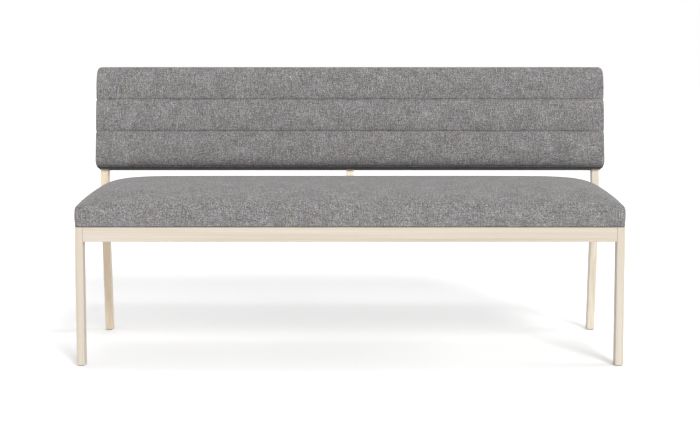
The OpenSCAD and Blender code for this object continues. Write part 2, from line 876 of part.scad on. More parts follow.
// The back's closed skin, t inside its surface, in the frame of the back
module back_skin(t) {
    r = back_edge_r - t;
    rear = back_rear - t;
    front = t - back_front;
    rings = concat(
        [for (a = [90, 60, 30, 0]) back_ring(r * (1 - cos(a)), rear - r * (1 - sin(a)), t, 0, 1 - sin(a))],
        [for (a = edge_angles) back_ring(r * (1 - cos(a)), front + r * (1 - sin(a)), t, sin(a), 1)],
        [back_column_ring(front)]);
    n = len(rings[0]);
    last = (len(rings) - 1) * n;
    rows = len(back_rows) + 1;
    left_top = 2 * corner_steps + 3;
    right_low = n - len(back_rows) - 1;
    strips = [
        for (k = [0:rows - 1], half = [0, 1])
            let (
                l = last + left_top + k,
                r0 = last + (right_low + rows - k) % n,
                r1 = last + (right_low + rows - k - 1) % n)
                half == 0 ? [l, r0, r1] : [l, r1, l + 1]];
    translate([0, 0, back_mid]) ringed_solid(rings, strips);
}

// Holes in the underside that the three posts pass through
module post_openings() {
    for (x = [-half_w, -leg_w / 2, inner_x])
        translate([x - soft_gap, -soft_gap, back_gap - overrun])
            cube([leg_w + 2 * soft_gap, leg_d + 2 * soft_gap, back_under + overrun + soft_gap]);
}

module back_cover() {
    color(wool) placed() on_back() difference() {
        back_skin(0);
        back_skin(fabric_t);
        translate([back_hem_w - back_half_w, leg_d, back_gap + back_hem_w])
            cube([2 * (back_half_w - back_hem_w), leg_d, back_h - 2 * back_hem_w]);
        post_openings();
    }
}

module back_wadding() {
    core_front = back_board_t + back_foam_t + soft_gap;
    color(wadding_colour) placed() on_back() difference() {
        back_skin(fabric_t + soft_gap);
        translate([-half_w - soft_gap, -core_front, board_low - soft_gap])
            cube([bench_w + 2 * soft_gap, core_front + 2 * leg_d, board_h + 2 * soft_gap]);
        post_openings();
    }
}

module back_foam() {
    color(foam_colour) placed() on_back() translate([-half_w, -back_board_t - back_foam_t, board_low])
        cube([bench_w, back_foam_t, board_h]);
}

module back_board() {
    color(ply) placed() on_back() difference() {
        translate([-half_w, -back_board_t, board_low]) cube([bench_w, back_board_t, board_h]);
        back_board_screw_holes();
    }
}

module back_rear_board() {
    color(ply) placed() on_back() difference() {
        translate([-half_w, leg_d, rear_board_low])
            cube([bench_w, rear_board_t, post_top - rear_board_low]);
        rear_board_screw_holes();
    }
}

module back_board_screws() {
    color(steel) placed() on_back()
        at_board_screws() translate([0, -back_board_t, 0]) rotate([-90, 0, 0]) screw(board_screw_l);
}

module rear_board_screws() {
    color(steel) placed() on_back()
        at_board_screws() translate([0, leg_d + rear_board_t, 0]) rotate([90, 0, 0]) screw(rear_screw_l);
}

module back_top_rail() {
    color(ash) placed() on_back() difference() {
        union() {
            translate([-inner_x, 0, inner_rail_top]) cube([2 * inner_x, leg_d, inner_rail_h]);
            both_sides() translate([inner_x, 0, inner_rail_top]) inner_rail_tenon(leg_tenon_l);
        }
        post_tenon(glue_gap);
        back_board_screw_holes();
        rear_board_screw_holes();
    }
}

module back_bottom_rail() {
    color(ash) placed() on_back() difference() {
        union() {
            translate([leg_w / 2, 0, board_low]) cube([inner_x - leg_w / 2, leg_d, inner_rail_h]);
            translate([inner_x, 0, board_low]) inner_rail_tenon(leg_tenon_l);
            translate([leg_w / 2, 0, board_low]) mirror([1, 0, 0]) inner_rail_tenon(centre_tenon_l);
        }
        back_board_screw_holes();
        rear_board_screw_holes();
    }
}

module back_bottom_rail_left() {
    left_hand() back_bottom_rail();
}

module back_bottom_rail_right() {
    back_bottom_rail();
}

module back_outside_panel() {
    w = 2 * (back_half_w - outside_back_inset);
    h = back_h - 2 * outside_back_inset;
    color(wool) placed() on_back()
        translate([-w / 2, back_rear + outside_back_t, back_gap + outside_back_inset]) rotate([90, 0, 0])
            linear_extrude(outside_back_t) round_rect(w, h, outside_back_r);
}

front_leg_left();
front_leg_right();
rear_leg_left();
rear_leg_right();
centre_post();
front_rail();
rear_rail();
side_rail_left();
side_rail_right();
cross_bearer_left();
cross_bearer_right();
corner_block_front_left();
corner_block_front_right();
corner_block_rear_left();
corner_block_rear_right();
glide_front_left();
glide_front_right();
glide_rear_left();
glide_rear_right();
seat_board();
seat_foam_base();
seat_foam_crown();
seat_wadding();
seat_cover();
seat_dust_cover();
dust_cover_staples();
seat_fixing_screws();
centre_post_screws();
back_top_rail();
back_bottom_rail_left();
back_bottom_rail_right();
back_board();
back_board_screws();
back_foam();
back_wadding();
back_cover();
back_rear_board();
rear_board_screws();
back_outside_panel();
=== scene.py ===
"""Upholstered banquette bench: heather grey cushions on a pale ash frame, in a white studio.

Lengths are in metres. The bench faces -Y, z = 0 is the floor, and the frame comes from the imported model.
"""

import math

import bpy
import numpy as np
from mathutils import Matrix, Vector


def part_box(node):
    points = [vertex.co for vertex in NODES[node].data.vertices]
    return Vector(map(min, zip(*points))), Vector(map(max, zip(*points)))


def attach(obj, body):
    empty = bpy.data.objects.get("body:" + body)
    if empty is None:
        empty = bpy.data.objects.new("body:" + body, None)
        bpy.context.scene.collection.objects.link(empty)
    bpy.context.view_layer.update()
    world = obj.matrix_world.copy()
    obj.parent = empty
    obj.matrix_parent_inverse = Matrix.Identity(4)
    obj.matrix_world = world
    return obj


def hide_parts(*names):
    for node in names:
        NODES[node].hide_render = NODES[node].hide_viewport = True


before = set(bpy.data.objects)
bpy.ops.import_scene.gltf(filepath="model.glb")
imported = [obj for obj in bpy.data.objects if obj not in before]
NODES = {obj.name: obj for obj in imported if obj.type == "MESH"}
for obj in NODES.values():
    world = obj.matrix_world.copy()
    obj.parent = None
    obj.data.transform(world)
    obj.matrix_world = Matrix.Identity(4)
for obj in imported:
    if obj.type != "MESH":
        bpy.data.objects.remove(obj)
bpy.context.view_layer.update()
MM = 0.001

# The bench's own sizes, as in its source
HALF_W = 750 * MM
RECLINE = math.radians(10)
KNEE_Y = 511 * MM
KNEE_RISE = 22 * MM
FRONT_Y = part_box("front_leg_left")[0].y
FRAME_TOP_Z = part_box("front_leg_left")[1].z
SEAT_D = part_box("seat_cover")[1].y - FRONT_Y
KNEE = Vector((0, FRONT_Y + KNEE_Y, FRAME_TOP_Z + KNEE_RISE))

# Seat cushion
SEAT_EDGE_H = 45.5 * MM
SEAT_CORNER_R = 14 * MM
SEAT_OVERHANG = 4.0 * MM
SEAT_CROWN = 55.6 * MM
# Distances from the ends and from the front and back over which most of the crown rises
CROWN_RUN_X = 50 * MM
CROWN_RUN_Y = 65 * MM
SEAT_STEP = 8.5 * MM

# Back cushion, its heights along the posts from the knee
BACK_GAP = 95.5 * MM
BACK_H = 306 * MM
BACK_HALF_W = 764.5 * MM
BACK_FRONT = -33.5 * MM
BACK_REAR = 44.6 * MM
SEAM_HEIGHTS = (206.3 * MM, 302.5 * MM)
BACK_EDGE_SEAM = 9 * MM
BACK_EDGE_R = 6 * MM
BACK_CORNER_R = 16 * MM
BACK_STEP = 8 * MM
# The cloth draws the upper and lower edges in by the slack, and the middle lies lower by the drop
BACK_SLACK = 1.7 * MM
BACK_DROP = 1.1 * MM
# The seams lie this far behind the front's plane, and the pillows between them rise this much
PILLOW_SINK = 2.4 * MM
PILLOW_RISE = 6.0 * MM
GROOVE_DEPTH = 5.2 * MM
GROOVE_WIDTH = 1.9 * MM
CREASE_DEPTH = 5.4 * MM
CREASE_WIDTH = 1.8 * MM
# The front's lower edge turns under
ROLL_DEPTH = 14 * MM
ROLL_REACH = 14.5 * MM
ROLL_POWER = 2.4
# Near its ends the front falls back, and the shoulders draw in towards the top
END_REACH = 60 * MM
END_FALL = 2.0 * MM
SHOULDER_IN = 4.5 * MM
SHOULDER_REACH = 30 * MM
# The sewn grooves pull small dents into the back's side edges
DENT_DEPTH = 1.6 * MM
DENT_WIDTH = 2.2 * MM
DENT_REACH = 8 * MM
REAR_DENT_SHARE = 0.3

# Outside back
PANEL_INSET = 18 * MM
PANEL_T = 3 * MM
PANEL_EDGE_R = 2.4 * MM
PANEL_CORNER_R = 9 * MM
PANEL_STEP = 12 * MM
# The panel puffs up by this much, most of it over the reach from its edge
PANEL_PUFF = 0.8 * MM
PUFF_REACH = 20 * MM

# Dust cover
COVER_STEP = 11 * MM
COVER_DROP = 0.25 * MM
COVER_RIPPLE = 0.12 * MM

# Mean lightness of the wool, and of the darker grey painted under the back as shade, before any weave
WOOL_GREY = 0.141
UNDERSIDE_PAINTED_SHADE_GREY = 0.027

# Painted light and shade on some of the frame's boards: the front boards are painted darker against the key
# light, the centre post lighter where the back shades it, and the rear left leg lighter where it stands in
# shade and warmer in its own tint
FRONT_PAINTED_SHADE = 0.92
POST_PAINTED_LIGHT = 1.2
BOARD_TINTS_AND_PAINTED_LIGHT = {"rear_leg_left": (1.04, 1.01, 0.97)}
RAIL_ARRIS = 2.0 * MM
LEG_ARRIS = 1.2 * MM


# Shader graphs

class Graph:
    """Builds one material's node graph. Values are sockets or plain numbers."""

    def __init__(self, name):
        self.material = bpy.data.materials.new(name)
        self.material.use_nodes = True
        self.tree = self.material.node_tree
        self.tree.nodes.clear()
        self.shader = self.node("ShaderNodeBsdfPrincipled")
        out = self.node("ShaderNodeOutputMaterial")
        self.tree.links.new(self.shader.outputs[0], out.inputs[0])

    def node(self, kind, **values):
        n = self.tree.nodes.new(kind)
        for key, value in values.items():
            setattr(n, key, value)
        return n

    def put(self, socket, value):
        if isinstance(value, bpy.types.NodeSocket):
            self.tree.links.new(value, socket)
        elif isinstance(value, (tuple, list)) and len(value) == 3 and socket.type == "RGBA":
            socket.default_value = (*value, 1)
        else:
            socket.default_value = value

    def math(self, operation, a, b=0.0):
        n = self.node("ShaderNodeMath", operation=operation)
        self.put(n.inputs[0], a)
        self.put(n.inputs[1], b)
        return n.outputs[0]

    def add(self, a, b):
        return self.math("ADD", a, b)

    def sub(self, a, b):
        return self.math("SUBTRACT", a, b)

    def mul(self, a, b):
        return self.math("MULTIPLY", a, b)

    def centred(self, value, weight):
        """A value from 0 to 1, moved about zero and weighted."""
        return self.mul(self.sub(value, 0.5), weight)

    def xyz(self, vector):
        n = self.node("ShaderNodeSeparateXYZ")
        self.put(n.inputs[0], vector)
        return n.outputs

    def vector(self, x, y, z=0.0):
        n = self.node("ShaderNodeCombineXYZ")
        for socket, value in zip(n.inputs, (x, y, z)):
            self.put(socket, value)
        return n.outputs[0]

    def mix(self, share, a, b):
        n = self.node("ShaderNodeMix", data_type="FLOAT")
        self.put(n.inputs[0], share)
        self.put(n.inputs[2], a)
        self.put(n.inputs[3], b)
        return n.outputs[0]

    def noise(self, vector, scale, detail=2.0, rough=0.5, dims="3D"):
        n = self.node("ShaderNodeTexNoise", noise_dimensions=dims)
        for key, value in {"Vector": vector, "Scale": scale, "Detail": detail, "Roughness": rough}.items():
            self.put(n.inputs[key], value)
        return n.outputs[0]

    def span(self, value, low, high, to_low=0.0, to_high=1.0, smooth=False):
        n = self.node("ShaderNodeMapRange", clamp=True,
                      interpolation_type="SMOOTHSTEP" if smooth else "LINEAR")
        for socket, v in zip(n.inputs, (value, low, high, to_low, to_high)):
            self.put(socket, v)
        return n.outputs[0]

    def colour(self, value, stops):
        n = self.node("ShaderNodeValToRGB")
        self.put(n.inputs[0], value)
        e = n.color_ramp.elements
        while len(e) < len(stops):
            e.new(0.5)
        for element, (at, rgb) in zip(e, stops):
            element.position = at
            element.color = (*rgb, 1)
        return n.outputs[0]

    def scaled(self, colour, value):
        """A colour times a grey value."""
        n = self.node("ShaderNodeVectorMath", operation="SCALE")
        self.put(n.inputs[0], colour)
        self.put(n.inputs["Scale"], value)
        return n.outputs[0]

    def bump(self, height, distance, strength=1.0):
        n = self.node("ShaderNodeBump")
        self.put(n.inputs["Strength"], strength)
        self.put(n.inputs["Distance"], distance)
        self.put(n.inputs["Height"], height)
        return n.outputs[0]

    def position(self):
        return self.node("ShaderNodeTexCoord").outputs["Object"]

    def finish(self, **inputs):
        for key, value in inputs.items():
            self.put(self.shader.inputs[key.replace("_", " ")], value)
        return self.material


def srgb(*channels):
    """A colour given in 0-255 sRGB, as linear values."""
    shares = [c / 255 for c in channels]
    return tuple(x / 12.92 if x <= 0.04045 else ((x + 0.055) / 1.055) ** 2.4 for x in shares)


def cloth_coordinates(g):
    """Two lengths along the cloth's threads, and how far the face lies upwards.

    The lengths are (x, z) on upright faces, (y, z) on end faces and (x, y) on level ones.
    """
    x, y, z = g.xyz(g.position())
    n = g.node("ShaderNodeVectorMath", operation="ABSOLUTE")
    g.put(n.inputs[0], g.node("ShaderNodeNewGeometry").outputs["Normal"])
    nx, ny, nz = g.xyz(n.outputs[0])
    is_end = g.math("GREATER_THAN", nx, g.math("MAXIMUM", ny, nz))
    is_level = g.math("GREATER_THAN", nz, g.math("MAXIMUM", nx, ny))
    return g.mix(is_end, x, y), g.mix(is_level, z, y), nz


def wool_material(name, grey):
    """Melange wool: a basket weave of light and dark grey yarns, with clouds of warmer and cooler grey."""
    g = Graph(name)
    u, v, upward = cloth_coordinates(g)

    def place(across, along, seed):
        """The cloth in units of across by along millimetres."""
        return g.vector(g.add(g.mul(u, 1 / (across * MM)), seed), g.mul(v, 1 / (along * MM)))

    def soft(across, along, detail, seed):
        return g.noise(place(across, along, seed), 1.0, detail, 0.5, "2D")

    def yarns(across, along, seed):
        """Short lengths of yarn, each in one tone."""
        n = g.node("ShaderNodeTexVoronoi", voronoi_dimensions="2D", feature="F1")
        for key, value in {"Vector": place(across, along, seed), "Scale": 1.0, "Randomness": 0.35}.items():
            g.put(n.inputs[key], value)
        return g.xyz(n.outputs["Color"])[0]

    warp = yarns(across=1.6, along=6.0, seed=11.3)
    weft = yarns(across=6.0, along=1.6, seed=47.9)
    flecks = soft(across=3.0, along=3.2, detail=1.0, seed=83.1)
    slubs = soft(across=2.2, along=36.0, detail=1.0, seed=5.7)
    picks = soft(across=48.0, along=2.2, detail=1.0, seed=29.4)
    clouds = soft(across=60.0, along=40.0, detail=3.0, seed=61.8)
    hues = soft(across=34.0, along=48.0, detail=2.0, seed=91.2)

    # Which yarns lie on top changes from block to block of the weave
    block = math.pi / (3.0 * MM)
    crossing = g.mul(g.math("SINE", g.mul(u, block)), g.math("SINE", g.mul(v, block)))
    over = g.span(crossing, -0.25, 0.25, smooth=True)
    yarn = g.mix(over, warp, weft)

    total = g.centred(yarn, 0.7)
    for field, weight in ((flecks, 1.0), (slubs, 0.45), (picks, 0.35), (clouds, 0.28)):
        total = g.add(total, g.centred(field, weight))
    # Level faces are painted a little plainer and paler than the sides, as painted light on the top
    level_share = g.span(upward, 0.72, 0.98, smooth=True)
    contrast = g.mix(level_share, 1.45, 1.1)
    level_painted_light = g.mix(level_share, 1.0, 1.13)
    tone = g.mul(g.math("EXPONENT", g.mul(total, contrast)), level_painted_light)
    cool, middle, warm = (1.02, 0.998, 1.01), (1.03, 0.996, 0.99), (1.042, 0.995, 0.968)
    tint = g.colour(hues, [(0.32, cool), (0.5, middle), (0.68, warm)])
    base = g.scaled(tint, g.mul(tone, grey))

    # Rounded yarns and a little fuzz
    twist = math.pi / (1.5 * MM)
    round_u = g.math("ABSOLUTE", g.math("SINE", g.mul(u, twist)))
    round_v = g.math("ABSOLUTE", g.math("SINE", g.mul(v, twist)))
    height = g.mix(over, round_u, round_v)
    height = g.add(height, g.centred(yarn, 0.7))
    height = g.add(height, g.centred(flecks, 0.8))
    normal = g.bump(height, 0.35 * MM, 0.6)
    return g.finish(Base_Color=base, Roughness=0.93, Normal=normal, Sheen_Weight=0.1, Sheen_Roughness=0.5,
                    Sheen_Tint=(0.95, 0.94, 0.93), Specular_IOR_Level=0.2)


def ash_material(name, axis, seed, tone=1.0, tint=(1, 1, 1)):
    """White-oiled ash, its grain along the axis 0, 1 or 2."""
    g = Graph(name)
    xyz = list(g.xyz(g.position()))
    along = xyz.pop(axis)
    a, b = xyz

    def drawn_out(lengthwise, across, detail):
        """Noise with so many waves in a metre along the grain and across it."""
        at = g.vector(g.mul(along, lengthwise), g.mul(a, across), g.mul(b, across))
        return g.noise(at, 1.0, detail)

    # Slow wander of the grain, then growth rings about a far pith
    drift = g.noise(g.vector(g.mul(along, 2.2), seed, g.mul(a, 6.0)), 1.0, 2.0)
    pith_a = 0.08 + 0.013 * (seed % 5)
    pith_b = 0.05 + 0.011 * (seed % 7)
    from_a = g.add(g.add(a, g.centred(drift, 0.03)), pith_a)
    from_b = g.add(g.add(b, g.centred(drift, 0.012)), pith_b)
    radius = g.math("SQRT", g.add(g.mul(from_a, from_a), g.mul(from_b, from_b)))
    wobble = drawn_out(lengthwise=5.0, across=60.0, detail=3.0)
    ring_pitch = 3.6 * MM
    rings = g.math("FRACT", g.add(g.mul(radius, 1 / ring_pitch), g.mul(wobble, 1.6)))
    start = g.span(rings, 0.0, 0.22, 1.0, 0.0, smooth=True)
    end = g.span(rings, 0.82, 1.0, 0.0, -0.55, smooth=True)
    early = g.sub(start, end)

    fibre = drawn_out(lengthwise=22.0, across=1100.0, detail=2.0)
    streak = drawn_out(lengthwise=1.6, across=95.0, detail=2.0)
    pores = drawn_out(lengthwise=130.0, across=2600.0, detail=1.0)
    pore = g.mul(g.span(pores, 0.6, 0.72), early)
    value = g.add(g.mul(early, 0.42), g.add(g.centred(streak, 1.0), 0.25))
    value = g.add(value, g.centred(fibre, 0.35))
    stops = ((0.02, (199, 191, 179)), (0.38, (190, 179, 164)), (0.95, (172, 156, 134)))
    # tone and tint scale the colours; for some boards the callers use them for painted light and shade
    base = g.colour(value, [(at, srgb(*(tone * c * t for c, t in zip(rgb, tint)))) for at, rgb in stops])
    base = g.scaled(base, g.sub(1.0, g.mul(pore, 0.16)))
    rough = g.add(0.5, g.mul(fibre, 0.14))
    height = g.sub(g.mul(fibre, 0.5), pore)
    return g.finish(Base_Color=base, Roughness=rough, Normal=g.bump(height, 0.08 * MM, 0.5),
                    Specular_IOR_Level=0.35)


def plywood_material(name, axis, ply=1.5 * MM):
    """Birch plywood, its layers stacked along the axis 0, 1 or 2."""
    g = Graph(name)
    xyz = list(g.xyz(g.position()))
    stack = xyz.pop(axis)
    a, b = xyz
    layer = g.math("FRACT", g.mul(stack, 0.5 / ply))
    crossed = g.math("GREATER_THAN", layer, 0.5)
    line = g.span(g.math("PINGPONG", g.mul(stack, 1 / ply), 0.5), 0.0, 0.06, 1.0, 0.0)
    with_grain = g.noise(g.vector(g.mul(a, 4.0), g.mul(b, 160.0), g.mul(stack, 700.0)), 1.0, 3.0)
    end_grain = g.noise(g.vector(g.mul(a, 900.0), g.mul(b, 900.0), g.mul(stack, 900.0)), 1.0, 2.0)
    value = g.mix(crossed, with_grain, end_grain)
    base = g.colour(value, [(0.25, srgb(222, 196, 154)), (0.75, srgb(200, 168, 124))])
    base = g.scaled(base, g.sub(g.sub(1.0, g.mul(crossed, 0.16)), g.mul(line, 0.25)))
    return g.finish(Base_Color=base, Roughness=0.62, Normal=g.bump(value, 0.1 * MM, 0.4))


def plastic_material():
    """Dark moulded nylon, its foot scuffed."""
    g = Graph("glide_nylon")
    p = g.position()
    grain = g.noise(p, 2600.0, 2.0)
    scuff = g.noise(p, 240.0, 4.0, 0.7)
    base = g.colour(scuff, [(0.35, (0.018, 0.017, 0.017)), (0.75, (0.05, 0.048, 0.046))])
    rough = g.add(0.42, g.mul(scuff, 0.25))
    return g.finish(Base_Color=base, Roughness=rough, Normal=g.bump(grain, 0.05 * MM, 0.4))


def steel_material():
    """Bright zinc plate with fine scratches and dull patches."""
    g = Graph("zinc_steel")
    p = g.position()
    x, y, z = g.xyz(p)
    patches = g.noise(p, 420.0, 3.0)
    scratches = g.noise(g.vector(g.mul(x, 300.0), g.mul(y, 4000.0), g.mul(z, 300.0)), 1.0, 2.0)
    base = g.colour(patches, [(0.3, (0.55, 0.56, 0.58)), (0.7, (0.72, 0.72, 0.71))])
    rough = g.add(0.24, g.mul(g.add(patches, scratches), 0.14))
    normal = g.bump(scratches, 0.02 * MM, 0.4)
    return g.finish(Base_Color=base, Metallic=1.0, Roughness=rough, Normal=normal)


def felt_material():
    """Black spun-bonded dust cloth with its pattern of small welded points."""
    g = Graph("dust_cloth")
    x, y, _ = g.xyz(g.position())
    fibre = g.noise(g.vector(g.mul(x, 900.0), g.mul(y, 1300.0)), 1.0, 4.0, 0.65, "2D")
    pitch = 2 * math.pi / (2.4 * MM)
    dots = g.mul(g.math("SINE", g.mul(g.add(x, y), pitch)), g.math("SINE", g.mul(g.sub(x, y), pitch)))
    weld = g.span(dots, 0.55, 0.9, smooth=True)
    base = g.colour(fibre, [(0.3, (0.014, 0.014, 0.015)), (0.7, (0.04, 0.04, 0.042))])
    base = g.scaled(base, g.sub(1.0, g.mul(weld, 0.35)))
    normal = g.bump(g.sub(fibre, g.mul(weld, 0.8)), 0.12 * MM, 0.7)
    return g.finish(Base_Color=base, Roughness=0.86, Normal=normal, Sheen_Weight=0.15)


def foam_material(name, tint):
    """Open-cell foam or polyester wadding, inside the cushions."""
    g = Graph(name)
    p = g.position()
    cells = g.node("ShaderNodeTexVoronoi", feature="F1")
    g.put(cells.inputs["Vector"], p)
    g.put(cells.inputs["Scale"], 900.0)
    patches = g.noise(p, 60.0, 3.0)
    base = g.scaled(g.colour(patches, [(0.3, tint), (0.7, tuple(0.9 * c for c in tint))]),
                    g.sub(1.0, g.mul(cells.outputs[0], 0.3)))
    return g.finish(Base_Color=base, Roughness=0.95, Normal=g.bump(cells.outputs[0], 0.3 * MM, 0.6))


def dress(node, material):
    """Gives a CAD node its material in every slot."""
    mesh = NODES[node].data
    if not mesh.materials:
        mesh.materials.append(material)
    for i in range(len(mesh.materials)):
        mesh.materials[i] = material


def ease_edges(node, width):
    """Takes the sharpness off a wooden node's arrises."""
    m = NODES[node].modifiers.new("arris", "BEVEL")
    m.width = width
    m.segments = 2
    m.limit_method = "ANGLE"
    m.angle_limit = math.radians(50)
    m.harden_normals = True


# Mesh building

def lattice_box(xs, ys, zs):
    """A closed box on a lattice of lines: its points, its faces and each point's place in the lattice."""
    nx, ny, nz = len(xs) - 1, len(ys) - 1, len(zs) - 1
    index, places = {}, []

    def at(i, j, k):
        key = (i, j, k)
        if key not in index:
            index[key] = len(places)
            places.append(key)
        return index[key]

    faces = []
    for i in range(nx):
        for j in range(ny):
            faces.append((at(i, j, 0), at(i, j + 1, 0), at(i + 1, j + 1, 0), at(i + 1, j, 0)))
            faces.append((at(i, j, nz), at(i + 1, j, nz), at(i + 1, j + 1, nz), at(i, j + 1, nz)))
    for i in range(nx):
        for k in range(nz):
            faces.append((at(i, 0, k), at(i + 1, 0, k), at(i + 1, 0, k + 1), at(i, 0, k + 1)))
            faces.append((at(i, ny, k), at(i, ny, k + 1), at(i + 1, ny, k + 1), at(i + 1, ny, k)))
    for j in range(ny):
        for k in range(nz):
            faces.append((at(0, j, k), at(0, j, k + 1), at(0, j + 1, k + 1), at(0, j + 1, k)))
            faces.append((at(nx, j, k), at(nx, j + 1, k), at(nx, j + 1, k + 1), at(nx, j, k + 1)))
    places = np.array(places)
    points = np.stack([np.array(line)[places[:, n]] for n, line in enumerate((xs, ys, zs))], 1)
    return points, faces, places


def even(low, high, step, extra=()):
    """Lines from low to high about a step apart, with lines through the extra places too."""
    fixed = sorted({low, high, *extra})
    lines = []
    for a, b in zip(fixed, fixed[1:]):
        n = max(1, round((b - a) / step))
        lines += [a + (b - a) * i / n for i in range(n)]
    return lines + [high]


def slab(half, corner, rings, step, rows=(), still=0.0):
    """A cushion's closed skin, lying flat: rings of (inset, height) from its foot up, and both its ends.

    half holds the two half sizes, corner the corner radius, rows more grid lines across the second axis,
    still the half width within which rows keep their place on the sides too. Lattice places come along.
    """
    last = rings[-1][0]
    inner = [h - last for h in half]
    near_edge = [3 * MM, 7 * MM, 12 * MM]
    lines = [even(-i, i, step, [s * (i - d) for s in (-1, 1) for d in near_edge] + list(more))
             for i, more in zip(inner, ((), rows))]
    points, faces, places = lattice_box(lines[0], lines[1], list(range(len(rings))))
    inset = np.array([r[0] for r in rings])[places[:, 2]]
    flat, past = [], []
    for k, kept in ((0, 0.0), (1, still)):
        share = ((np.abs(points[:, k]) - kept) / (inner[k] - kept)).clip(0, 1)
        at = points[:, k] + np.sign(points[:, k]) * share * (last - inset)
        flat.append(at)
        past.append((np.abs(at) - (half[k] - corner)).clip(0))
    length, longest = np.hypot(*past), np.maximum(*past)
    scale = np.where(length > 1e-9, longest / np.maximum(length, 1e-9), 1)
    flat = [np.sign(at) * (np.minimum(np.abs(at), h - corner) + d * scale)
            for at, h, d in zip(flat, half, past)]
    height = np.array([r[1] for r in rings])[places[:, 2]]
    return np.stack([*flat, height], 1), faces, places


def mesh_object(name, points, faces, material, smooth=True):
    mesh = bpy.data.meshes.new(name)
    mesh.from_pydata([tuple(p) for p in points], [], faces)
    mesh.materials.append(material)
    if smooth:
        mesh.shade_smooth()
    mesh.update()
    o = bpy.data.objects.new(name, mesh)
    bpy.context.scene.collection.objects.link(o)
    return o


def coordinates(mesh):
    co = np.empty(len(mesh.vertices) * 3, np.float32)
    mesh.vertices.foreach_get("co", co)
    return co.reshape(-1, 3).astype(float)


def inflate(o, held, cap, pressure=3.0, frames=20, stiffness=15.0):
    """Blows the piece up as cloth, held where held is 1, and caps how far each point moves."""
    rest = coordinates(o.data)
    group = o.vertex_groups.new(name="held")
    for weight in np.unique(held):
        if weight > 0:
            group.add(np.nonzero(held == weight)[0].tolist(), float(weight), "REPLACE")
    cloth = o.modifiers.new("inflate", "CLOTH")
    s = cloth.settings
    s.quality = 5
    s.mass = 0.3
    s.tension_stiffness = s.compression_stiffness = stiffness
    s.shear_stiffness = stiffness / 3
    s.bending_stiffness = 0.6
    s.vertex_group_mass = "held"
    s.use_pressure = True
    s.uniform_pressure_force = pressure
    s.effector_weights.gravity = 0
    cloth.collision_settings.use_collision = False
    scene = bpy.context.scene
    scene.frame_start, scene.frame_end = 1, frames
    for at in range(1, frames + 1):
        scene.frame_set(at)
    moved = o.evaluated_get(bpy.context.evaluated_depsgraph_get())
    new = coordinates(moved.to_mesh())
    moved.to_mesh_clear()
    o.modifiers.remove(cloth)
    scene.frame_set(1)
    step = new - rest
    length = np.linalg.norm(step, axis=1)
    keep = cap * np.tanh(length / cap) / np.maximum(length, 1e-9)
    o.data.vertices.foreach_set("co", (rest + step * keep[:, None]).astype(np.float32).ravel())
    o.data.update()


def subdivide(o, levels):
    m = o.modifiers.new("smooth", "SUBSURF")
    m.levels = m.render_levels = levels


def quarter_turn(step):
    """Angles of a rounded edge, a step of degrees apart."""
    return [math.radians(a) for a in range(0, 91, step)]


# The seat cushion

def seat_profile():
    """Rings of the cushion's side from the frame up, as (inset, height above the frame's top)."""
    # All in millimetres: the drawn-in foot, the bulging side over it, then the rounded edge
    rings = [(8.0, 0.0), (5.6, 0.5), (3.6, 1.2), (2.2, 2.3), (1.5, 4.0), (1.3, 6.4)]
    side_low, side_h, draw_in, bulge = 6, 38, 1.4, 1.2
    edge_z, edge_in, edge_h = 46.5, 10.5, 12
    for z in (10, 14, 19, 24, 29, 34, 40):
        s = (z - side_low) / side_h
        rings.append((draw_in * (1 - s) ** 1.5 - bulge * 4 * s * (1 - s), float(z)))
    for a in quarter_turn(15):
        rings.append((edge_in * (1 - math.cos(a)), edge_z + edge_h * math.sin(a)))
    return [(s * MM, z * MM) for s, z in rings]


def seat_crown(x, y, hx, hy):
    """Height of the crown over the rounded edge."""
    rise_x = (1 - np.exp(-(hx - x).clip(0) / CROWN_RUN_X)) * (1 - np.exp(-(hx + x).clip(0) / CROWN_RUN_X))
    rise_y = (1 - np.exp(-(hy - y).clip(0) / CROWN_RUN_Y)) * (1 - np.exp(-(hy + y).clip(0) / CROWN_RUN_Y))
    return SEAT_CROWN * rise_x * rise_y


def make_seat(material):
    half = (HALF_W + SEAT_OVERHANG, SEAT_D / 2)
    points, faces, places = slab(half, SEAT_CORNER_R, seat_profile(), SEAT_STEP)
    on_top = points[:, 2] > SEAT_EDGE_H + 1 * MM
    points[:, 2] += np.where(on_top, seat_crown(points[:, 0], points[:, 1], *half), 0)
    points += (0, FRONT_Y + half[1], FRAME_TOP_Z)
    seat = mesh_object("seat_cushion", points, faces, material)
    # The lowest four rings are held, and the fifth nearly so
    level = places[:, 2]
    held = np.where(level <= 3, 1.0, 0.0)
    held = np.where(level == 4, 0.8, held)
    inflate(seat, held, cap=2.2 * MM)
    return seat


# The back

BACK_FRAME = Matrix.Translation(KNEE) @ Matrix.Rotation(-RECLINE, 4, "X")
BACK_MID = Vector((0, (BACK_FRONT + BACK_REAR) / 2, BACK_GAP + BACK_H / 2 - BACK_DROP))


def channel_relief(height):
    """How far the front lies behind its plane at a height along the posts: pillows between sewn seams."""
    edges = [BACK_GAP, *SEAM_HEIGHTS, BACK_GAP + BACK_H]
    relief = np.zeros_like(height)
    for low, high in zip(edges, edges[1:]):
        s = ((height - low) / (high - low)).clip(0, 1)
        inside = (height >= low) & (height <= high)
        relief = np.where(inside, PILLOW_SINK - PILLOW_RISE * 4 * s * (1 - s), relief)
    return relief


def seam_share(height, width):
    d = np.minimum(*[np.abs(height - s) for s in SEAM_HEIGHTS])
    return np.exp(-d / width)


def lower_roll(height):
    """How far the front turns under towards the lower edge."""
    return ROLL_DEPTH * np.exp(-((height - BACK_GAP).clip(0) / ROLL_REACH) ** ROLL_POWER)


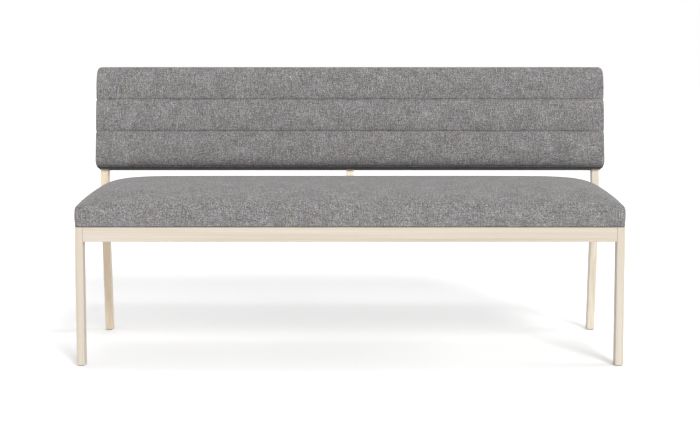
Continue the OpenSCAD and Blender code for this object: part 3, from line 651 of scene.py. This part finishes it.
def back_profile():
    """Rings of the back's side from its rear to its front, as (inset, distance from its middle)."""
    half = (BACK_REAR - BACK_FRONT) / 2
    r = BACK_EDGE_R
    turn = quarter_turn(15)
    rings = [(r * (1 - math.sin(a)), -half + r * (1 - math.cos(a))) for a in turn]
    straight = 2 * half - r - r
    rings += [(0, -half + r + straight * k / 7) for k in range(1, 7)]
    return rings + [(r * (1 - math.cos(a)), half - r * (1 - math.sin(a))) for a in turn]


def make_back(material, underside_painted_shade):
    half = (BACK_HALF_W, BACK_H / 2 + BACK_SLACK)
    rings = back_profile()
    depth = (BACK_REAR - BACK_FRONT) / 2
    seams = [s - BACK_MID.z for s in SEAM_HEIGHTS]
    edge_seam = -half[1] + BACK_EDGE_SEAM
    near_seam = [d * MM for d in (0, 0.7, 1.6, 3, 5, 8)]
    rows = [s + k * d for s in seams for k in (-1, 1) for d in near_seam]
    rows += [edge_seam + d * MM for d in (-0.7, 0, 0.7, 1.5, 3, 5)]
    still = half[1] - 60 * MM
    slab_points, faces, places = slab(half, BACK_CORNER_R, rings, BACK_STEP, rows, still)
    points = np.stack([slab_points[:, 0], -slab_points[:, 2], slab_points[:, 1]], 1)
    faces = [tuple(reversed(f)) for f in faces]
    height = points[:, 2] + BACK_MID.z
    # From 0 at the middle of the sides to 1 on the front
    facing = ((-points[:, 1] + 2 * MM) / depth).clip(0, 1)
    on_front = places[:, 2] == len(rings) - 1
    end = ((np.abs(points[:, 0]) - (BACK_HALF_W - END_REACH)) / END_REACH).clip(0, 1)
    points[:, 1] += facing * (channel_relief(height) + lower_roll(height) + END_FALL * end**2)
    groove = GROOVE_DEPTH * seam_share(height, GROOVE_WIDTH)
    points[:, 1] += np.where(on_front, groove, groove * (facing**2))
    # The seam above the back's underside; below it the cloth is painted darker as shade
    crease = CREASE_DEPTH * np.exp(-((points[:, 2] - edge_seam) / CREASE_WIDTH) ** 2)
    points[:, 1] += crease * facing**2
    side = np.abs(points[:, 0]) > BACK_HALF_W - DENT_REACH
    dent = DENT_DEPTH * seam_share(height, DENT_WIDTH)
    dent = dent * np.where(points[:, 1] > 20 * MM, REAR_DENT_SHARE, 1)
    points[:, 0] -= np.where(side, np.sign(points[:, 0]) * dent, 0)
    drop = BACK_GAP + BACK_H - height
    points[:, 0] -= np.sign(points[:, 0]) * end * SHOULDER_IN * np.exp(-drop / SHOULDER_REACH)
    back = mesh_object("back_cushion", points, faces, material)
    # Faces below the edge seam, on the front and underneath, get the darker grey: painted shade under the
    # back
    back.data.materials.append(underside_painted_shade)
    for face in back.data.polygons:
        face.material_index = int(face.center.z < edge_seam - 0.3 * MM and face.center.y < 30 * MM)
    near = np.min([np.abs(slab_points[:, 1] - s) for s in (*seams, edge_seam)], axis=0)
    held = np.where(on_front & (near < 0.5 * MM), 1.0, 0.0)
    held = np.where(places[:, 2] == 0, 1.0, held)
    inflate(back, held, cap=2.0 * MM)
    back.data.transform(BACK_FRAME @ Matrix.Translation(BACK_MID))
    return back


def make_outside_back(material):
    """The flat padded panel that closes the rear."""
    half = (BACK_HALF_W - PANEL_INSET, BACK_H / 2 - PANEL_INSET)
    rings = [(0.8 * MM, 0), (0, 0.6 * MM)]
    rings += [(PANEL_EDGE_R * (1 - math.cos(a)), PANEL_T - PANEL_EDGE_R * (1 - math.sin(a)))
              for a in quarter_turn(18)]
    points, faces, places = slab(half, PANEL_CORNER_R, rings, PANEL_STEP)
    edge = np.minimum(half[0] - np.abs(points[:, 0]), half[1] - np.abs(points[:, 1])).clip(0)
    on_top = places[:, 2] == len(rings) - 1
    points[:, 2] += np.where(on_top, PANEL_PUFF * (1 - np.exp(-edge / PUFF_REACH)), 0)
    points = np.stack([-points[:, 0], points[:, 2], points[:, 1]], 1)
    panel = mesh_object("outside_back", points, faces, material)
    panel.data.transform(BACK_FRAME @ Matrix.Translation((0, BACK_REAR, BACK_MID.z)))
    return panel


# The dust cover

def make_dust_cover(material):
    """The cover's mesh and its flat size. Its edge is stapled flat, and it ripples a little inside."""
    low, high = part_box("seat_dust_cover")
    xs = even(low.x, high.x, COVER_STEP)
    ys = even(low.y, high.y, COVER_STEP)
    points, faces = [], []
    for y in ys:
        for x in xs:
            d = min(x - low.x, high.x - x, y - low.y, high.y - y)
            ripple = COVER_RIPPLE * math.sin(x * 210) * math.sin(y * 260) * min(1, d / 0.02)
            points.append((x, y, high.z - COVER_DROP + ripple))
    n = len(xs)
    for j in range(len(ys) - 1):
        for i in range(n - 1):
            k = j * n + i
            faces.append((k, k + n, k + n + 1, k + 1))
    cover = mesh_object("dust_cover", points, faces, material)
    return cover, (high.x - low.x, high.y - low.y)


# Materials on the frame

GRAIN = {
    0: ["front_rail", "rear_rail", "back_top_rail", "back_bottom_rail_left", "back_bottom_rail_right",
        "corner_block_front_left", "corner_block_front_right", "corner_block_rear_left",
        "corner_block_rear_right"],
    1: ["side_rail_left", "side_rail_right", "cross_bearer_left", "cross_bearer_right"],
    2: ["front_leg_left", "front_leg_right", "rear_leg_left", "rear_leg_right", "centre_post"],
}


# The front boards are painted darker as shade and the centre post lighter as painted light
def board_painted_light(name):
    if name.startswith("front_"):
        return FRONT_PAINTED_SHADE
    return POST_PAINTED_LIGHT if name == "centre_post" else 1.0


seed = 1
for axis, names in GRAIN.items():
    for name in names:
        # The rear left leg's tint is partly its own warmer colour and partly painted light against its
        # shade
        tint = BOARD_TINTS_AND_PAINTED_LIGHT.get(name, (1, 1, 1))
        dress(name, ash_material("ash_" + name, axis, seed, board_painted_light(name), tint))
        ease_edges(name, RAIL_ARRIS if name.endswith("_rail") else LEG_ARRIS)
        seed += 3

dress("seat_board", plywood_material("plywood_seat", 2))
for name in ("back_board", "back_rear_board"):
    dress(name, plywood_material("plywood_" + name, 1))
nylon = plastic_material()
for name in NODES:
    if name.startswith("glide_"):
        dress(name, nylon)
zinc = steel_material()
for name in ("dust_cover_staples", "seat_fixing_screws", "centre_post_screws", "back_board_screws",
             "rear_board_screws"):
    dress(name, zinc)
dress("seat_foam_base", foam_material("foam_firm", srgb(232, 220, 176)))
dress("seat_foam_crown", foam_material("foam_soft", srgb(238, 230, 200)))
dress("seat_wadding", foam_material("wadding_seat", srgb(240, 240, 236)))
dress("back_foam", foam_material("foam_back", srgb(232, 220, 176)))
dress("back_wadding", foam_material("wadding_back", srgb(240, 240, 236)))

wool = wool_material("heather_wool", WOOL_GREY)
# The same wool made much darker, painted on the back's underside as shade
underside_painted_shade = wool_material("back_underside_painted_shade", UNDERSIDE_PAINTED_SHADE_GREY)
seat = make_seat(wool)
subdivide(seat, 1)
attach(seat, "root")
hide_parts("seat_cover", "seat_wadding", "seat_foam_base", "seat_foam_crown")

back = make_back(wool, underside_painted_shade)
subdivide(back, 1)
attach(back, "root")
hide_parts("back_cover", "back_wadding", "back_foam")

outside = make_outside_back(wool)
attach(outside, "root")
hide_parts("back_outside_panel")

dust, flat = make_dust_cover(felt_material())
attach(dust, "root")
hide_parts("seat_dust_cover")


# Studio

def floor_material():
    g = Graph("studio_floor")
    mottle = g.noise(g.position(), 0.8, 2.0)
    base = g.colour(mottle, [(0.3, (0.89, 0.89, 0.89)), (0.7, (0.92, 0.92, 0.92))])
    return g.finish(Base_Color=base, Roughness=0.8, Specular_IOR_Level=0.1)


def make_floor(size=40.0, n=20):
    points = [(size * (i / n - 0.5), size * (j / n - 0.5), 0) for j in range(n + 1) for i in range(n + 1)]
    faces = [(j * (n + 1) + i, j * (n + 1) + i + 1, (j + 1) * (n + 1) + i + 1, (j + 1) * (n + 1) + i)
             for j in range(n) for i in range(n)]
    floor = mesh_object("studio_floor", points, faces, floor_material(), smooth=False)


def soft_light(name, azimuth, elevation, strength, spread=30):
    """A large far light, its angles in degrees. Azimuth 0 is the front, and 90 the bench's right end."""
    data = bpy.data.lights.new(name, "SUN")
    data.angle = math.radians(spread)
    data.energy = strength
    a, e = math.radians(azimuth), math.radians(elevation)
    towards = Vector((math.sin(a) * math.cos(e), -math.cos(a) * math.cos(e), math.sin(e)))
    o = bpy.data.objects.new(name, data)
    o.rotation_euler = towards.to_track_quat("Z", "Y").to_euler()
    bpy.context.scene.collection.objects.link(o)


def make_world(horizon, walls, ceiling):
    """A white studio: its brightness at the horizon, on its walls from 7 to 30 degrees up, and above 42."""
    world = bpy.data.worlds.new("studio")
    bpy.context.scene.world = world
    world.use_nodes = True
    tree = world.node_tree
    split = tree.nodes.new("ShaderNodeSeparateXYZ")
    tree.links.new(tree.nodes.new("ShaderNodeTexCoord").outputs["Generated"], split.inputs[0])

    def fade(low, high, change):
        """A change of brightness between two elevations, in degrees."""
        n = tree.nodes.new("ShaderNodeMapRange")
        ends = (math.sin(math.radians(low)), math.sin(math.radians(high)), 0, change)
        for socket, value in zip(n.inputs[1:5], ends):
            socket.default_value = value
        tree.links.new(split.outputs[2], n.inputs[0])
        return n.outputs[0]

    lower = tree.nodes.new("ShaderNodeMath")
    tree.links.new(fade(2, 7, walls - horizon), lower.inputs[0])
    lower.inputs[1].default_value = horizon
    total = tree.nodes.new("ShaderNodeMath")
    tree.links.new(fade(30, 42, ceiling - walls), total.inputs[0])
    tree.links.new(lower.outputs[0], total.inputs[1])
    background = tree.nodes["Background"]
    tree.links.new(total.outputs[0], background.inputs[1])
    background.inputs[0].default_value = (1, 1, 1, 1)


make_floor()
make_world(horizon=1.0, walls=1.6, ceiling=0.3)
soft_light("key", azimuth=17, elevation=30, strength=2.35, spread=18)
soft_light("top", azimuth=180, elevation=73, strength=0.4, spread=20)
soft_light("side_right", azimuth=95, elevation=25, strength=0.95)
soft_light("side_left", azimuth=-95, elevation=25, strength=0.2)

# The photograph's camera: its focal length in pixels of a frame 700 wide, its place and its tilt
FOCAL_PIXELS = 1770
FRAME_PIXELS = 700
CAMERA_DISTANCE = 4.7867
CAMERA_HEIGHT = 0.9393
CAMERA_TILT = 6.42
camera_data = bpy.data.cameras.new("camera")
camera_data.sensor_width = 36
camera_data.lens = FOCAL_PIXELS / FRAME_PIXELS * camera_data.sensor_width
camera_data.clip_end = 100
camera = bpy.data.objects.new("camera", camera_data)
camera.location = (0, FRONT_Y - CAMERA_DISTANCE, CAMERA_HEIGHT)
camera.rotation_euler = (math.radians(90 - CAMERA_TILT), 0, 0)
bpy.context.scene.collection.objects.link(camera)
bpy.context.scene.camera = camera

view = bpy.context.scene.view_settings
view.view_transform = "Standard"
view.look = "None"
